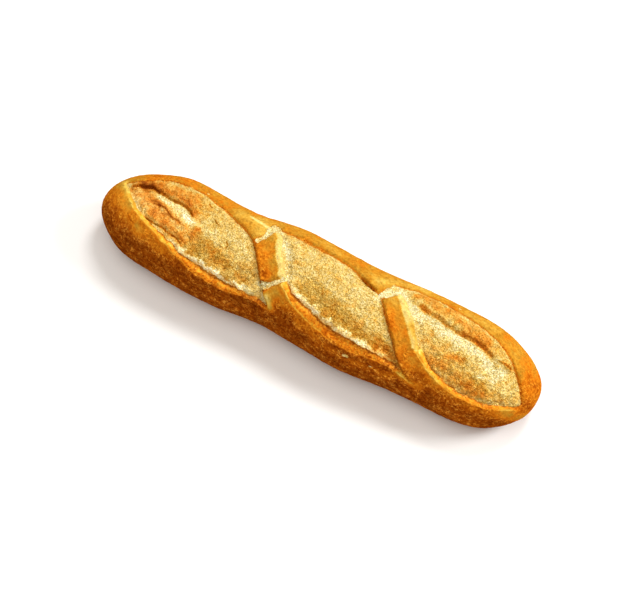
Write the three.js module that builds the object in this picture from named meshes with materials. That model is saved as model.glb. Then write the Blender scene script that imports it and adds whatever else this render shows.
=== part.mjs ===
// A short, broad baguette baked from one piece of dough, scored with three overlapping slashes.
//
// Units are millimetres. +X runs along the loaf, +Y points to its far side, +Z is up, and the loaf
// stands on Z = 0 with its origin under the middle of its bounding box.
//
// The loaf is one closed skin. A place on it is given by two skin coordinates: x along the loaf, and
// w, the distance measured over the skin from the crown line, positive towards the far side. The
// plain dough body is worked out first, and the slashes then lift and sink its skin.
import * as THREE from "three";

// ---------------------------------------------------------------- driving dimensions

const LENGTH = 280; // tip to tip
const HEIGHT_TO_WIDTH = 0.745; // crown height as a share of the local width
const EQUATOR_HEIGHT = 0.42; // height of the widest level, as a share of the crown height
const TIP_HEIGHT = 19; // how high the two tips are above the table
const TABLE_PRESS = 1; // how far the underside is pressed flat by its own weight

const LEFT_END_LENGTH = 71; // over which the loaf narrows to its left tip
const RIGHT_END_LENGTH = 48;
const UNDERSIDE_END_LENGTH = 30; // over which the underside curves up to a tip
const LEFT_TIP_OFFSET = -1; // how far each tip is from the middle line, in Y
const RIGHT_TIP_OFFSET = 1;

const UPPER_ROUNDNESS = 2.15; // superellipse exponents of the cross-section: 2 is an ellipse
const LOWER_ROUNDNESS = 2.7;

// Half-widths of the dough body before its ends are rounded: x, far side, near side. The body is
// pinched where the crust bridges two slashes, further left on the far side than on the near side.
const HALF_WIDTHS = [
  [-120, 35.5, 32.5],
  [-95, 34.0, 30.4],
  [-70, 30.5, 30.3],
  [-50, 29.8, 30.4],
  [-25, 32.4, 28.8],
  [0, 31.5, 30.7],
  [30, 29.3, 33.4],
  [60, 30.1, 31.1],
  [90, 29.6, 31.3],
  [118, 28.7, 32.6],
];

// A slash's outline runs from its left tip along the far edge to its right tip, and back along the
// near edge. Each point is: x, w, how high the crust's lip stands there, how wide the lip's inner
// face is, and how deep the opening is at the foot of that face.
const [LIP, FACE, DEEP] = [2, 3, 4];
const LEFT_SLASH = [
  [-129, 7, 0.3, 1.5, 0.6],
  [-117, 11.5, 0.5, 1, 0.8],
  [-103, 17.5, 0.6, 1, 0.9],
  [-84, 19, 0.6, 1, 0.9],
  [-66, 16.5, 0.6, 1, 1.0],
  [-52, 11, 0.7, 1, 1.2],
  [-41.5, 4, 1.0, 1, 1.6],
  [-32, -9, 1.2, 1, 1.8],
  [-24.5, -20.5, 1.2, 1.2, 2.0],
  [-17, -31, 0.5, 1.5, 0.8],
  [-26, -30, 1.2, 2, 0.7],
  [-40, -29.6, 1.8, 3.2, 0.7],
  [-58, -28, 1.9, 4, 0.8],
  [-74, -25, 1.7, 3.6, 0.7],
  [-87, -21.3, 1.5, 2.2, 0.7],
  [-100, -16.3, 1.4, 1.5, 0.8],
  [-112, -9.8, 1.0, 1.5, 0.8],
  [-122, -0.9, 0.6, 1.5, 0.7],
];
const MIDDLE_SLASH = [
  [-37, 18.5, 0.4, 1.2, 0.8],
  [-21, 18.5, 0.7, 1, 1.4],
  [12, 18, 0.7, 1, 1.5],
  [26, 13.5, 0.8, 1, 1.5],
  [38, 8, 0.8, 1, 1.5],
  [47, -3.5, 1.1, 1, 1.7],
  [56, -14.5, 1.2, 1, 1.8],
  [65.5, -26, 1.1, 1.2, 1.8],
  [78, -33.5, 0.4, 1.5, 0.6],
  [68, -31, 1.2, 2, 1.6],
  [56, -28.3, 1.6, 2.4, 0.8],
  [40, -29, 1.9, 4, 0.8],
  [22, -27.8, 1.9, 4, 0.8],
  [6, -24.6, 1.9, 4.1, 0.8],
  [-6, -20, 1.8, 3.4, 0.9],
  [-14, -14.5, 1.4, 2.8, 1.2],
  [-18, -9, 0.9, 5, 2.0],
  [-26, 3, 0.9, 5, 1.8],
  [-32, 12, 0.6, 4, 1.2],
];
const RIGHT_SLASH = [
  [41, 19.5, 0.4, 1.5, 0.8],
  [52, 23.2, 0.7, 1, 1.0],
  [72, 22.7, 0.7, 1, 1.0],
  [90, 19.7, 0.7, 1, 1.0],
  [106, 15.1, 0.7, 1, 1.1],
  [118, 8.4, 0.7, 1, 1.2],
  [128, -1.8, 0.6, 1, 1.2],
  [134.5, -12, 0.4, 1.5, 0.6],
  [127, -19, 1.0, 1.5, 0.9],
  [114, -25, 1.3, 1.8, 1.0],
  [98, -26.2, 1.4, 1.8, 1.0],
  [84, -22.8, 1.4, 2, 1.1],
  [74, -17.5, 1.2, 3, 1.6],
  [67, -12, 1.0, 5, 1.6],
  [59, -2, 0.9, 6, 1.5],
  [50, 9, 0.8, 6, 1.4],
];
const SLASHES = [LEFT_SLASH, MIDDLE_SLASH, RIGHT_SLASH];

const LIP_REACH = 7; // how far a lip lifts the crust beside it
const FLOOR_RECOVERY = 3; // over which the floor rises again from the foot of a lip
const FLOOR_SINK = 0.7; // how far the crumb lies below the plain skin in the middle of an opening
const FLOOR_SINK_REACH = 14; // distance from the edge where it has sunk fully

// Second tears: a step in the floor along a line, high on its far side.
const LEDGES = [
  { line: [[-124, 4], [-114, 7.2], [-103, 6.2], [-95, 5.2], [-87, 4.8], [-79, 1]], rise: 1.6 },
  { line: [[46, 16], [60, 13], [78, 9.4], [92, 7.2], [103, 5.8], [113, 2], [124, 0]], rise: 1.5 },
];
const LEDGE_STEP = 1.6; // over which a ledge drops
const LEDGE_REACH = 16; // distance from the line beyond which the floor is level again

// Crumbly ridges that the near lips tore away from, steeper on their near side.
const RIDGES = [
  [[-84, -20.6], [-74, -20.8], [-64, -21.2], [-53, -22.6], [-44, -23.4], [-36, -26], [-26, -28.8]],
  [[-12, -13], [-4, -15.8], [6, -17.4], [16, -18.6], [26, -20.4], [38, -23.2], [50, -26.2], [60, -27.6]],
];
const RIDGE_RISE = 1.3;
const RIDGE_FAR_WIDTH = 3.6;
const RIDGE_NEAR_WIDTH = 1.4;

// Cracks across the crust's bridges: line, half-width, depth.
const CRACKS = [
  { line: [[-33.5, 19.5], [-36, 13.5], [-37, 8], [-40, 2.5]], half: 1.9, depth: 0.9 },
  { line: [[-26, -19.5], [-21.5, -18], [-17.5, -14], [-14, -9.5]], half: 2, depth: 1.6 },
  { line: [[46, 17.5], [42, 12], [37, 7]], half: 3, depth: 1.4 },
];
const CRACK_WALL = 0.8; // over half of which a crack's side drops

const END_FADE = 0.12; // share of a line's length over which it fades out at each end
const CRACK_END_FADE = 0.02;
const PIECES_PER_SPAN = 5; // straight pieces between two points of a smooth line

// Facets: rings along the loaf and rows round it, closest together where the slashes are.
const RING_SPACING = 2.35;
const END_ZONE = 12; // length of each tip that has its own, closer rings
const END_RINGS = 7;
const SLASHED_FROM = -0.46; // the rows' dense stretch, as shares of half the girth, from the crown
const SLASHED_TO = 0.33;
const SLASHED_ROWS = 30;
const PLAIN_ROWS = 15;
const EDGE_SNAP = 1; // within which a place is moved onto a slash's edge

const CRUST_COLOUR = 0xc9822f;

// ---------------------------------------------------------------- small helpers

const clamp = (v, low, high) => Math.min(high, Math.max(low, v));
const smooth = (from, to, v) => {
  const t = clamp((v - from) / (to - from), 0, 1);
  return t * t * (3 - 2 * t);
};
const hump = (v, width) => Math.exp(-((v / width) ** 2));

// Reads column `column` of a table sorted by its first column, as a smooth curve.
function smoothTable(table, column, x) {
  const last = table.length - 1;
  const at = clamp(x, table[0][0], table[last][0]);
  let i = 0;
  while (i < last - 1 && at > table[i + 1][0]) i++;
  const slope = (k) => {
    const [a, b] = [table[Math.max(k - 1, 0)], table[Math.min(k + 1, last)]];
    return (b[column] - a[column]) / (b[0] - a[0]);
  };
  const span = table[i + 1][0] - table[i][0];
  const t = (at - table[i][0]) / span;
  const [p, q] = [table[i][column], table[i + 1][column]];
  const [m, n] = [slope(i) * span, slope(i + 1) * span];
  return p + t * (m + t * (3 * (q - p) - 2 * m - n + t * (2 * (p - q) + m + n)));
}

// A smooth line through control points [x, w], as short straight pieces.
function smoothLine(points, closed = false) {
  const v = points.map(([x, w]) => new THREE.Vector3(x, w, 0));
  const curve = new THREE.CatmullRomCurve3(v, closed, "catmullrom", 0.5);
  const spans = closed ? points.length : points.length - 1;
  const places = curve.getPoints(spans * PIECES_PER_SPAN);
  return places.map((p, i) => ({ x: p.x, w: p.y, t: i / PIECES_PER_SPAN }));
}

// The nearest place on a line: where it is, its distance, its t in control points, and which side of
// the line (x, w) is on, +1 to the left of the line's direction.
function nearest(line, x, w) {
  let best = { distance: Infinity };
  for (let i = 0; i + 1 < line.length; i++) {
    const [a, b] = [line[i], line[i + 1]];
    const [dx, dw] = [b.x - a.x, b.w - a.w];
    const share = clamp(((x - a.x) * dx + (w - a.w) * dw) / (dx * dx + dw * dw), 0, 1);
    const foot = { x: a.x + share * dx, w: a.w + share * dw };
    const distance = Math.hypot(x - foot.x, w - foot.w);
    if (distance >= best.distance) continue;
    const side = dx * (w - foot.w) - dw * (x - foot.x) >= 0 ? 1 : -1;
    best = { ...foot, distance, t: a.t + share * (b.t - a.t), side };
  }
  return best;
}

function inside(line, x, w) {
  let odd = false;
  for (let i = 0; i + 1 < line.length; i++) {
    const [a, b] = [line[i], line[i + 1]];
    if (a.w > w !== b.w > w && x < a.x + ((w - a.w) / (b.w - a.w)) * (b.x - a.x)) odd = !odd;
  }
  return odd;
}

// A line's strength falls to nothing at both of its ends.
const fadeEnds = (t, points, share = END_FADE) => {
  const along = t / (points.length - 1);
  return smooth(0, share, along) * smooth(0, share, 1 - along);
};

// ---------------------------------------------------------------- the dough body

// Cross-section of the plain body at x: its middle, half-width, crown and underside.
function bodyAt(x) {
  const leftShare = (LEFT_END_LENGTH - LENGTH / 2 - x) / LEFT_END_LENGTH;
  const rightShare = (x + RIGHT_END_LENGTH - LENGTH / 2) / RIGHT_END_LENGTH;
  const roundness = Math.sqrt(1 - clamp(Math.max(leftShare, rightShare), 0, 1) ** 2);
  const underShare = (Math.abs(x) + UNDERSIDE_END_LENGTH - LENGTH / 2) / UNDERSIDE_END_LENGTH;
  const underside = 1 - Math.sqrt(1 - clamp(underShare, 0, 1) ** 2);
  const far = smoothTable(HALF_WIDTHS, 1, x);
  const near = smoothTable(HALF_WIDTHS, 2, x);
  const tip = (x < 0 ? LEFT_TIP_OFFSET : RIGHT_TIP_OFFSET) * (1 - roundness);
  const crown = TIP_HEIGHT + (HEIGHT_TO_WIDTH * (far + near) - TIP_HEIGHT) * roundness;
  const bottom = (TIP_HEIGHT + TABLE_PRESS) * underside - TABLE_PRESS;
  return {
    middle: tip + ((far - near) / 2) * roundness,
    halfWidth: ((far + near) / 2) * roundness,
    crown,
    bottom,
    equator: bottom + EQUATOR_HEIGHT * (crown - bottom),
  };
}

const SECTION_STEPS = 120; // from the underside's middle, over one side, to the crown

// The skin at x as a fine polyline from the crown down one side, with the distance walked.
function skinSide(x) {
  const body = bodyAt(x);
  const points = [];
  let walked = 0;
  for (let i = 0; i <= SECTION_STEPS; i++) {
    const angle = Math.PI * (0.5 - i / SECTION_STEPS);
    const upper = angle >= 0;
    const power = 2 / (upper ? UPPER_ROUNDNESS : LOWER_ROUNDNESS);
    const out = body.halfWidth * Math.max(Math.cos(angle), 0) ** power;
    const rise = Math.abs(Math.sin(angle)) ** power;
    const reach = upper ? body.crown - body.equator : body.bottom - body.equator;
    const z = Math.max(body.equator + reach * rise, 0);
    if (i) walked += Math.hypot(out - points[i - 1].out, z - points[i - 1].z);
    points.push({ out, z, walked });
  }
  return { middle: body.middle, points, girth: walked };
}

// The plain body's skin at distance w from the crown line of a section made by skinSide.
function onSkin(side, x, w) {
  const { points } = side;
  const walk = clamp(Math.abs(w), 0, side.girth);
  let low = 0;
  let high = SECTION_STEPS;
  while (high - low > 1) {
    const half = (low + high) >> 1;
    if (points[half].walked <= walk) low = half;
    else high = half;
  }
  const step = points[high].walked - points[low].walked;
  const t = step > 0 ? (walk - points[low].walked) / step : 0;
  const out = points[low].out + t * (points[high].out - points[low].out);
  const z = points[low].z + t * (points[high].z - points[low].z);
  return new THREE.Vector3(x, side.middle + Math.sign(w) * out, z);
}

// ---------------------------------------------------------------- the slashes

const outlines = SLASHES.map((slash) => {
  const line = smoothLine(slash, true);
  const along = (t, column) => {
    const i = Math.floor(t) % slash.length;
    const next = slash[(i + 1) % slash.length];
    return slash[i][column] + (t - Math.floor(t)) * (next[column] - slash[i][column]);
  };
  return { line, along };
});
const ledges = LEDGES.map((ledge) => ({ ...ledge, curve: smoothLine(ledge.line) }));
const ridges = RIDGES.map((points) => ({ points, curve: smoothLine(points) }));
const cracks = CRACKS.map((crack) => ({ ...crack, curve: smoothLine(crack.line) }));

// Height of the floor above the plain skin, at a distance from the edge whose foot is `deep`.
function floorAt(distance, face, deep, x, w) {
  const beyond = Math.max(distance - face, 0);
  let floor = -deep * Math.exp(-beyond / FLOOR_RECOVERY);
  floor -= FLOOR_SINK * smooth(face, FLOOR_SINK_REACH, distance);
  for (const { curve, line, rise } of ledges) {
    const at = nearest(curve, x, w);
    if (at.distance > LEDGE_REACH) continue;
    const d = at.distance * at.side;
    floor += rise * fadeEnds(at.t, line) * (smooth(-LEDGE_STEP / 2, LEDGE_STEP / 2, d) - 0.5);
  }
  for (const { curve, points } of ridges) {
    const at = nearest(curve, x, w);
    const flank = at.side > 0 ? RIDGE_FAR_WIDTH : RIDGE_NEAR_WIDTH;
    floor += RIDGE_RISE * hump(at.distance, flank) * fadeEnds(at.t, points);
  }
  return floor;
}

// How far the slashes lift (+) or sink (-) the skin at x, w.
function relief(x, w) {
  let crustHeight = 0;
  let opening = null;
  for (const { line, along } of outlines) {
    const at = nearest(line, x, w);
    const [lip, face, deep] = [LIP, FACE, DEEP].map((column) => along(at.t, column));
    crustHeight = Math.max(crustHeight, lip * hump(at.distance, LIP_REACH));
    if (inside(line, x, w)) opening = { distance: at.distance, face, deep };
  }
  for (const { curve, line, half, depth } of cracks) {
    const at = nearest(curve, x, w);
    const share = 1 - smooth(half - CRACK_WALL, half + CRACK_WALL, at.distance);
    crustHeight -= depth * share * fadeEnds(at.t, line, CRACK_END_FADE);
  }
  if (!opening) return crustHeight;
  const { distance, face, deep } = opening;
  const open = smooth(0, face, distance);
  return crustHeight * (1 - open) + floorAt(distance, face, deep, x, w) * open;
}

// A place close to a slash's edge is moved onto it, so that the facets' edges follow the lips.
function snapToEdge(x, w) {
  const nearby = outlines.map(({ line }) => nearest(line, x, w));
  const best = nearby.reduce((a, b) => (a.distance < b.distance ? a : b));
  return best.distance < EDGE_SNAP ? best : { x, w };
}

// ---------------------------------------------------------------- the skin's facets

// Ring places along the loaf, closer together towards the tips.
function ringPlaces() {
  const edge = LENGTH / 2 - END_ZONE;
  const middleRings = Math.round((2 * edge) / RING_SPACING);
  const tip = Array.from({ length: END_RINGS }, (_, i) => {
    const turn = ((i + 1) / (END_RINGS + 1)) * (Math.PI / 2);
    return edge + END_ZONE * Math.cos(turn);
  });
  const middle = Array.from({ length: middleRings + 1 }, (_, i) => -edge + (i * 2 * edge) / middleRings);
  return [...tip.map((x) => -x), ...middle, ...tip.toReversed()];
}

// Rows round a ring, as signed shares of half the girth: 0 is the crown and +-1 the underside.
function rowShares() {
  const dense = Array.from(
    { length: SLASHED_ROWS + 1 },
    (_, i) => SLASHED_FROM + (i * (SLASHED_TO - SLASHED_FROM)) / SLASHED_ROWS,
  );
  const plainSpan = 2 - (SLASHED_TO - SLASHED_FROM);
  const plain = Array.from({ length: PLAIN_ROWS - 1 }, (_, i) => {
    const share = SLASHED_TO + ((i + 1) * plainSpan) / PLAIN_ROWS;
    return share > 1 ? share - 2 : share;
  });
  return [...dense, ...plain];
}

const PROBE = 0.4; // step used to find which way the skin faces

// The finished skin's place at x, w: the plain skin, lifted or sunk along the way that it faces.
function skinPlace(x, w) {
  const here = skinSide(x);
  const share = w / here.girth;
  const [ahead, behind] = [x + PROBE, x - PROBE].map((at) => {
    const side = skinSide(at);
    return onSkin(side, at, share * side.girth);
  });
  const round = onSkin(here, x, w + PROBE).sub(onSkin(here, x, w - PROBE));
  const outward = ahead.sub(behind).cross(round).normalize();
  const height = relief(x, w);
  const place = onSkin(here, x, w).addScaledVector(outward, height);
  place.z = Math.max(place.z, 0);
  return { place, height };
}

function loafGeometry() {
  const rings = ringPlaces();
  const shares = rowShares();
  const skin = rings.flatMap((x) => {
    const { girth } = skinSide(x);
    return shares.map((share) => {
      const at = snapToEdge(x, share * girth);
      return skinPlace(at.x, at.w);
    });
  });
  const positions = skin.flatMap(({ place }) => place.toArray());
  const rows = shares.length;
  const faces = [];
  for (let i = 0; i + 1 < rings.length; i++)
    for (let j = 0; j < rows; j++) {
      const k = (j + 1) % rows;
      const [a, b, c, d] = [i * rows + j, (i + 1) * rows + j, (i + 1) * rows + k, i * rows + k];
      const step = (p, q) => Math.abs(skin[p].height - skin[q].height);
      if (step(a, c) <= step(b, d)) faces.push(a, b, c, a, c, d);
      else faces.push(a, b, d, b, c, d);
    }
  const leftTip = skin.length;
  const rightTip = leftTip + 1;
  positions.push(-LENGTH / 2, LEFT_TIP_OFFSET, TIP_HEIGHT, LENGTH / 2, RIGHT_TIP_OFFSET, TIP_HEIGHT);
  const lastRing = (rings.length - 1) * rows;
  for (let j = 0; j < rows; j++) {
    const k = (j + 1) % rows;
    faces.push(leftTip, j, k, rightTip, lastRing + k, lastRing + j);
  }
  const geometry = new THREE.BufferGeometry();
  geometry.setAttribute("position", new THREE.Float32BufferAttribute(positions, 3));
  geometry.setIndex(faces);
  geometry.computeBoundingBox();
  const centre = geometry.boundingBox.getCenter(new THREE.Vector3());
  geometry.translate(-centre.x, -centre.y, 0);
  geometry.computeVertexNormals();
  return geometry;
}

// ---------------------------------------------------------------- the part

const crust = new THREE.MeshStandardMaterial({
  color: CRUST_COLOUR,
  roughness: 0.6,
  metalness: 0,
});

const loaf = new THREE.Mesh(loafGeometry(), crust);
loaf.name = "loaf";

const part = new THREE.Group();
part.add(loaf);

export default part;
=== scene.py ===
# %% [markdown]
# # A baguette, from dough to crust
# This lesson dresses one short, broad baguette. The frame holds one CAD solid, "loaf", with the right
# size and main forms but broad facets. We model a fine skin over the same named sizes, tear its edges,
# roughen its crumb, colour it as an oven does and paint some light and shade into that colour. Sizes in
# millimetres are multiplied by MM.

# %% Load the frame
import math

import bpy
import numpy as np
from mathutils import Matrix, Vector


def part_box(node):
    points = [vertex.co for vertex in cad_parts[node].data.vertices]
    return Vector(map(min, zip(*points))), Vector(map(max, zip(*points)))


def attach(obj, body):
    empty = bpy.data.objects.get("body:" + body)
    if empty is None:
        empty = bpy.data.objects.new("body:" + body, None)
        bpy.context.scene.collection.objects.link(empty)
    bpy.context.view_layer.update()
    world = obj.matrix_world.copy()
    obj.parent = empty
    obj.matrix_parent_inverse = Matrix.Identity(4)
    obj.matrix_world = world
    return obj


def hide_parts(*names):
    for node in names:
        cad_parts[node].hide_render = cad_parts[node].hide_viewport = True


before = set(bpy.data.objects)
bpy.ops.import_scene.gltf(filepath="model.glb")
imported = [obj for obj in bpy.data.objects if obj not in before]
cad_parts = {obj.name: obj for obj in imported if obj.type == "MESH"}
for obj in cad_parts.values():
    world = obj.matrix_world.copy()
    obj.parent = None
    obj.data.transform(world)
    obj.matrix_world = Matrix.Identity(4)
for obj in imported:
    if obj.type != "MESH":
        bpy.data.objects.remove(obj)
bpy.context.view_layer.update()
MM = 0.001
low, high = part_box("loaf")
print("the CAD loaf spans", [round((b - a) / MM, 1) for a, b in zip(low, high)], "mm")

# %% [markdown]
# The loaf lies slantwise on a white table and is seen from high above its near side, through a long
# lens. A target on the loaf, two angles and a distance are easier to change than three coordinates.

# %% The camera
TARGET = (3.7 * MM, -1.1 * MM, 20 * MM)
AZIMUTH = math.radians(27.3)
ELEVATION = math.radians(65)
DISTANCE = 868 * MM
LENS = 85  # focal length in millimetres
FILM_WIDTH = 36
NEAREST_SEEN = 0.05

camera = bpy.data.objects.new("camera", bpy.data.cameras.new("camera"))
bpy.context.scene.collection.objects.link(camera)
camera.data.lens = LENS
camera.data.sensor_width = FILM_WIDTH
camera.data.clip_start = NEAREST_SEEN
outward = (
    math.sin(AZIMUTH) * math.cos(ELEVATION),
    -math.cos(AZIMUTH) * math.cos(ELEVATION),
    math.sin(ELEVATION),
)
camera.location = [t + DISTANCE * o for t, o in zip(TARGET, outward)]
camera.rotation_euler = (math.pi / 2 - ELEVATION, 0, AZIMUTH)
bpy.context.scene.camera = camera
print("camera at", [round(c, 3) for c in camera.location])

# %% [markdown]
# A baker rolls dough into a tapered log. The nearest primitive is a UV sphere laid on its side: it is
# closed, its poles become the loaf's tips, and each vertex has a clear place along and round it.

# %% A sphere on its side
RINGS = 440  # along the loaf
SEGMENTS = 208  # round it
AT_A_POLE = 1e-6

for thing in bpy.context.selected_objects:
    thing.select_set(False)
bpy.ops.mesh.primitive_uv_sphere_add(
    segments=SEGMENTS, ring_count=RINGS, radius=1, rotation=(0, math.pi / 2, 0)
)
loaf = bpy.context.object
loaf.name = "baguette"
loaf.data.name = "baguette"
bpy.ops.object.transform_apply(location=True, rotation=True, scale=True)

sphere = np.empty(len(loaf.data.vertices) * 3)
loaf.data.vertices.foreach_get("co", sphere)
sphere = sphere.reshape(-1, 3)
along = np.arccos(np.clip(-sphere[:, 0], -1, 1)) / math.pi  # 0 at the left tip, 1 at the right
around = np.arctan2(sphere[:, 1], sphere[:, 2]) / math.pi  # 0 on the crown, +-1 underneath
around[np.hypot(sphere[:, 1], sphere[:, 2]) < AT_A_POLE] = 0
print(len(sphere), "vertices from", round(along.min(), 3), "to", round(along.max(), 3))

# %% [markdown]
# The body is a stack of superellipses, fuller below their widest level than above it. Stations say how
# far the dough reaches to each side, because it is pinched where the crust bridges two slashes, and the
# ends close as quarter ellipses.

# %% Sizes of the dough body, in millimetres
LENGTH = 280
HEIGHT_TO_WIDTH = 0.745
EQUATOR_HEIGHT = 0.42  # the widest level, as a share of the height
TIP_HEIGHT = 19
TABLE_PRESS = 1
LEFT_END_LENGTH = 71
RIGHT_END_LENGTH = 48
UNDERSIDE_END_LENGTH = 30
LEFT_TIP_OFFSET = -1
RIGHT_TIP_OFFSET = 1
UPPER_ROUNDNESS = 2.15
LOWER_ROUNDNESS = 2.7

# Stations along the loaf: x, reach to the far side, reach to the near side.
HALF_WIDTHS = [
    (-120, 35.5, 32.5),
    (-95, 34.0, 30.4),
    (-70, 30.5, 30.3),
    (-50, 29.8, 30.4),
    (-25, 32.4, 28.8),
    (0, 31.5, 30.7),
    (30, 29.3, 33.4),
    (60, 30.1, 31.1),
    (90, 29.6, 31.3),
    (118, 28.7, 32.6),
]
print("the dough is up to", max(far + near for _, far, near in HALF_WIDTHS), "mm across")

# %% [markdown]
# Dough shaped by hand has no corners, so a smooth curve joins the stations. With a soft step and a soft
# hump it builds nearly every form and colour further down.


# %% Helpers for smooth curves
def smooth(start, end, value):
    """0 before start, 1 after end, and an even slope between them."""
    t = np.clip((value - start) / (end - start), 0, 1)
    return t * t * (3 - 2 * t)


def hump(value, width):
    return np.exp(-((value / width) ** 2))


def smooth_table(table, column, x):
    """Column of a table that is sorted by its first column, read as a smooth curve."""
    table = np.array(table, float)
    keys, values = table[:, 0], table[:, column]
    last = len(table) - 1
    rows = np.arange(last + 1)
    before, after = np.clip(rows - 1, 0, last), np.clip(rows + 1, 0, last)
    slopes = (values[after] - values[before]) / (keys[after] - keys[before])
    at = np.clip(x, keys[0], keys[-1])
    i = np.clip(np.searchsorted(keys, at, side="left") - 1, 0, last - 1)
    span = keys[i + 1] - keys[i]
    t = (at - keys[i]) / span
    p, q, m, n = values[i], values[i + 1], slopes[i] * span, slopes[i + 1] * span
    return p + t * (m + t * (3 * (q - p) - 2 * m - n + t * (2 * (p - q) + m + n)))


print("the middle reaches", round(float(smooth_table(HALF_WIDTHS, 1, 0)), 1), "mm to the far side")

# %% [markdown]
# A slash is placed by x along the loaf and w, the way walked over the skin from the crown, positive to
# the far side. So each section is a polyline with the way walked at its corners, and w is looked up in
# it. A loaf sculpted by hand would have no such coordinates.

# %% The plain skin as a function of its two coordinates
SECTION_STEPS = 120


def body_at(x):
    """Middle, half-width, crown, underside and widest level of the cross-section at x."""
    left = (LEFT_END_LENGTH - LENGTH / 2 - x) / LEFT_END_LENGTH
    right = (x + RIGHT_END_LENGTH - LENGTH / 2) / RIGHT_END_LENGTH
    roundness = np.sqrt(1 - np.clip(np.maximum(left, right), 0, 1) ** 2)
    under = (np.abs(x) + UNDERSIDE_END_LENGTH - LENGTH / 2) / UNDERSIDE_END_LENGTH
    underside = 1 - np.sqrt(1 - np.clip(under, 0, 1) ** 2)
    far, near = smooth_table(HALF_WIDTHS, 1, x), smooth_table(HALF_WIDTHS, 2, x)
    tip = np.where(x < 0, LEFT_TIP_OFFSET, RIGHT_TIP_OFFSET) * (1 - roundness)
    crown = TIP_HEIGHT + (HEIGHT_TO_WIDTH * (far + near) - TIP_HEIGHT) * roundness
    bottom = (TIP_HEIGHT + TABLE_PRESS) * underside - TABLE_PRESS
    middle = tip + (far - near) / 2 * roundness
    half_width = (far + near) / 2 * roundness
    return middle, half_width, crown, bottom, bottom + EQUATOR_HEIGHT * (crown - bottom)


def sections_at(x):
    """One side of the section at each x, as polylines from the crown down, with the way walked."""
    middle, half_width, crown, bottom, equator = (v[:, None] for v in body_at(x))
    angle = math.pi * (0.5 - np.arange(SECTION_STEPS + 1) / SECTION_STEPS)[None]
    power = np.where(angle >= 0, 2 / UPPER_ROUNDNESS, 2 / LOWER_ROUNDNESS)
    out = half_width * np.maximum(np.cos(angle), 0) ** power
    reach = np.where(angle >= 0, crown - equator, bottom - equator)
    z = np.maximum(equator + reach * np.abs(np.sin(angle)) ** power, 0)
    steps = np.hypot(np.diff(out, axis=1), np.diff(z, axis=1))
    walked = np.concatenate([np.zeros((len(x), 1)), np.cumsum(steps, axis=1)], axis=1)
    return middle[:, 0], out, z, walked


def skin_at(x, w):
    """Places of the plain skin at x along the loaf and w round it from the crown, in millimetres."""
    stations, which = np.unique(np.round(x, 4), return_inverse=True)
    middle, out, z, walked = sections_at(stations)
    girth = walked[:, -1]
    walk = np.minimum(np.abs(w), girth[which])
    spread = 10 * LENGTH  # keeps the stations apart in one long table for interp
    keys = (walked + spread * np.arange(len(stations))[:, None]).ravel()
    at = walk + spread * which
    y = middle[which] + np.sign(w) * np.interp(at, keys, out.ravel())
    return np.stack([x, y, np.interp(at, keys, z.ravel())], axis=1)


def girth_at(x):
    stations, which = np.unique(np.round(x, 4), return_inverse=True)
    return sections_at(stations)[3][which, -1]


print("half the girth at the middle is", round(girth_at(np.zeros(1))[0], 1), "mm")

# %% [markdown]
# The tips curve most and the slashes lie on top, so rings and rows stand closer there. Moving the
# sphere's own vertices keeps the mesh closed.

# %% The sphere's vertices laid on the plain skin
TIP_RINGS_SHARE = 0.45  # how much closer the rings stand towards the tips
CROWN_ROWS_SHARE = 0.7  # how much closer the rows run on the crown than below
CROWN_ROWS_POWER = 4

x = LENGTH / 2 * ((1 - TIP_RINGS_SHARE) * (2 * along - 1) - TIP_RINGS_SHARE * np.cos(math.pi * along))
turn = np.abs(around)
row = np.sign(around) * (CROWN_ROWS_SHARE * turn + (1 - CROWN_ROWS_SHARE) * turn**CROWN_ROWS_POWER)
w = row * girth_at(x)
plain = skin_at(x, w)
print("plain dough spans", np.round(np.ptp(plain, axis=0), 1), "mm")

# %% [markdown]
# A baker cuts three overlapping slashes. In the oven each one tears open: its edge lifts into a lip,
# the dough swells out as a rough crumb floor, and crust stays as a bridge between two slashes. Each
# point of an outline says how high the lip is, how wide its inner face is and how deep the opening goes
# at its foot. An outline runs from its left tip along the far edge and back along the near one.

# %% Outlines of the slashes: x, w, lip height, face width, depth
LEFT_SLASH = [
    (-129, 7, 0.3, 1.5, 0.6),
    (-117, 11.5, 0.5, 1, 0.8),
    (-103, 17.5, 0.6, 1, 0.9),
    (-84, 19, 0.6, 1, 0.9),
    (-66, 16.5, 0.6, 1, 1.0),
    (-52, 11, 0.7, 1, 1.2),
    (-41.5, 4, 1.0, 1, 1.6),
    (-32, -9, 1.2, 1, 1.8),
    (-24.5, -20.5, 1.2, 1.2, 2.0),
    (-17, -31, 0.5, 1.5, 0.8),
    (-26, -30, 1.2, 2, 0.7),
    (-40, -29.6, 1.8, 3.2, 0.7),
    (-58, -28, 1.9, 4, 0.8),
    (-74, -25, 1.7, 3.6, 0.7),
    (-87, -21.3, 1.5, 2.2, 0.7),
    (-100, -16.3, 1.4, 1.5, 0.8),
    (-112, -9.8, 1.0, 1.5, 0.8),
    (-122, -0.9, 0.6, 1.5, 0.7),
]
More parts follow.
